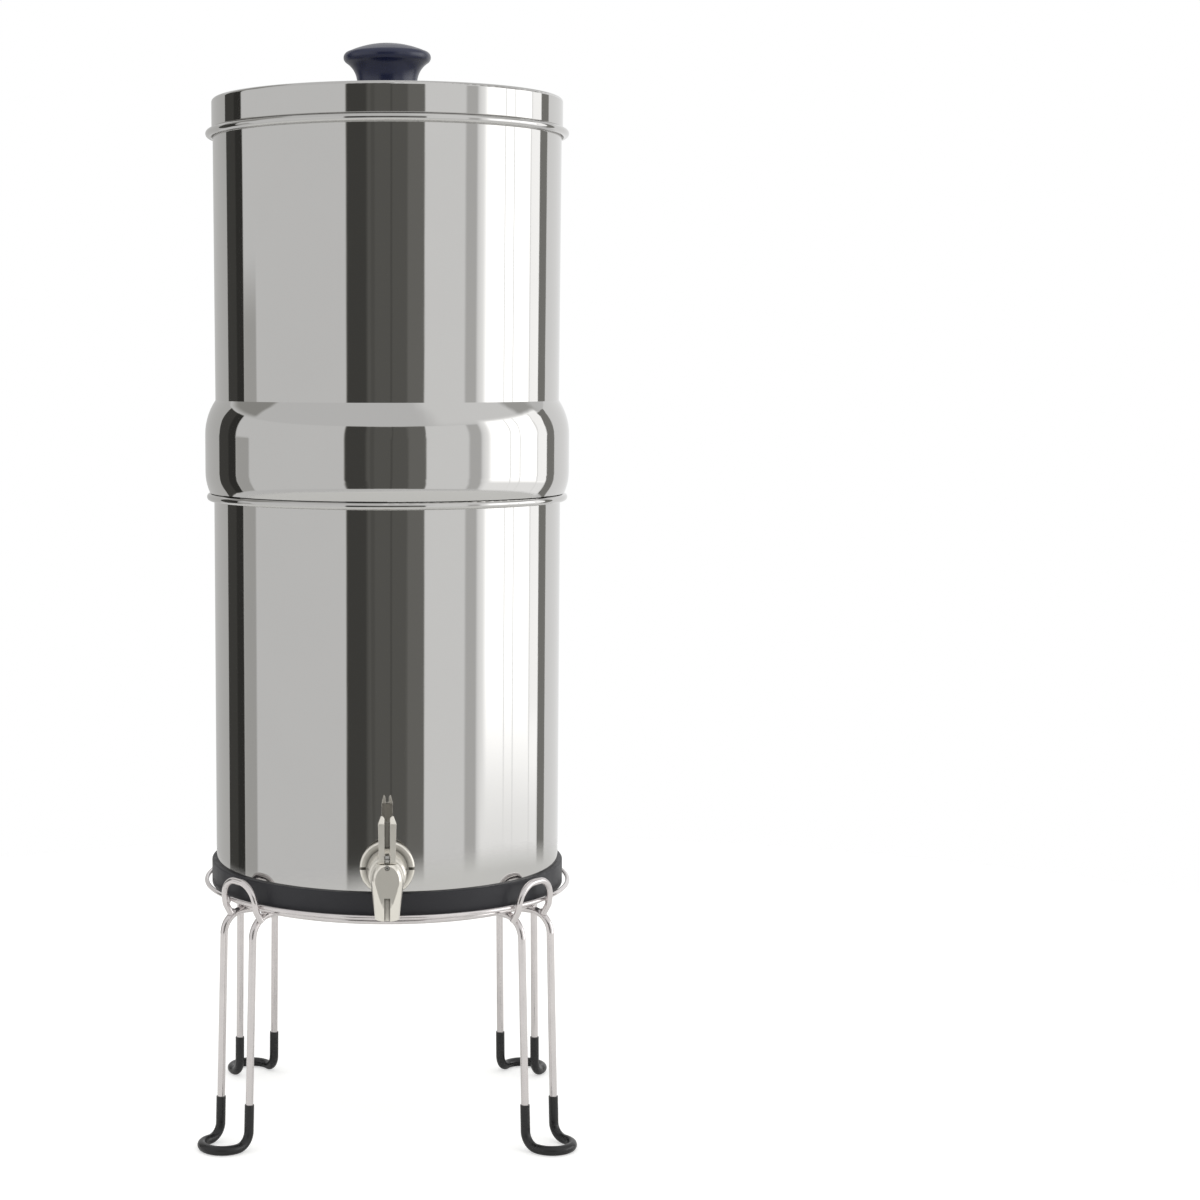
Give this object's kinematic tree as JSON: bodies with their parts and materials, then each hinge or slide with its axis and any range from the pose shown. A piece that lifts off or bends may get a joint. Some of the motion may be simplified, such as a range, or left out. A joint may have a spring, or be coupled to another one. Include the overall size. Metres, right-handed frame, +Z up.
{
  "type": "gravity water filter with tap",
  "caption": "Stacked steel gravity water filter with domed ceramic candles inside, a lever tap and a wire stand with looped legs and black feet.",
  "frame": {"origin": "on the floor under the vessel's axis, level with the undersides of the feet", "axes": "+Z up along the vessel's axis, -Y towards the tap's side, +X to the right seen from there"},
  "size_m": [0.2314, 0.264, 0.6717],
  "materials": {
    "polished_steel": "mirror polished stainless sheet",
    "stand_wire": "bright plated steel wire",
    "chrome_plate": "chromed zinc casting",
    "black_rubber": "moulded, semi-matt",
    "black_vinyl": "dip coated, satin",
    "turned_brass": "turned",
    "fastener_steel": "bright steel",
    "white_silicone": "moulded, matt",
    "dark_blue_phenolic": "compression moulded, glossy",
    "filter_ceramic": "fired porous ceramic, matt",
    "carbon_block": "pressed carbon",
    "white_bond": "cast resin",
    "blue_plastic": "injection moulded"
  },
  "bodies": {
    "stand": {"support_ring": "stand_wire", "retaining_ring": "stand_wire", "leg_front_left": "stand_wire", "leg_front_right": "stand_wire", "leg_rear_left": "stand_wire", "leg_rear_right": "stand_wire", "hoop_front_left": "stand_wire", "hoop_front_right": "stand_wire", "hoop_rear_left": "stand_wire", "hoop_rear_right": "stand_wire", "foot_sleeve_front_left": "black_vinyl", "foot_sleeve_front_right": "black_vinyl", "foot_sleeve_rear_left": "black_vinyl", "foot_sleeve_rear_right": "black_vinyl"},
    "lower_vessel": {"lower_chamber": "polished_steel", "base_band": "black_rubber", "tap_gasket_outer": "black_rubber", "tap_gasket_inner": "black_rubber", "tap_lock_nut": "turned_brass", "tap_body": "chrome_plate", "tap_bonnet": "chrome_plate", "tap_grub_screw": "fastener_steel", "tap_spring": "fastener_steel"},
    "tap_lever": {"tap_lever": "chrome_plate", "lever_pin": "fastener_steel"},
    "tap_stem": {"tap_stem": "fastener_steel", "tap_seat_washer": "white_silicone"},
    "upper_vessel": {"upper_chamber": "polished_steel", "candle_shell_left": "filter_ceramic", "candle_core_left": "carbon_block", "candle_bond_left": "white_bond", "candle_cap_left": "blue_plastic", "candle_washer_left": "white_silicone", "wing_nut_left": "blue_plastic", "candle_shell_right": "filter_ceramic", "candle_core_right": "carbon_block", "candle_bond_right": "white_bond", "candle_cap_right": "blue_plastic", "candle_washer_right": "white_silicone", "wing_nut_right": "blue_plastic"},
    "lid": {"lid": "polished_steel", "lid_knob": "dark_blue_phenolic", "knob_insert": "turned_brass", "knob_screw": "fastener_steel", "knob_washer": "fastener_steel"}
  },
  "joints": [
    {"name": "lower_vessel_lift", "type": "slide", "parent": "stand", "child": "lower_vessel", "axis": [0, 0, 1], "range_m": [0, 0.05]},
    {"name": "upper_vessel_lift", "type": "slide", "parent": "lower_vessel", "child": "upper_vessel", "axis": [0, 0, 1], "range_m": [0, 0.06]},
    {"name": "lid_lift", "type": "slide", "parent": "upper_vessel", "child": "lid", "axis": [0, 0, 1], "range_m": [0, 0.04]},
    {"name": "tap_lever_tilt", "type": "hinge", "parent": "lower_vessel", "child": "tap_lever", "pos_m": [0, -0.1444, 0.18955], "axis": [1, 0, 0], "range_deg": [0, 50], "stiffness_Nm_per_rad": 0.15, "springref_deg": -14.32},
    {"name": "tap_stem_rise", "type": "slide", "parent": "lower_vessel", "child": "tap_stem", "axis": [0, 0, 1], "range_m": [0, 0.002], "deforming": ["tap_spring"]}
  ],
  "couplings": [
    {"joint": "tap_stem_rise", "follows": "tap_lever_tilt", "m_per_rad": 0.0022368}
  ]
}
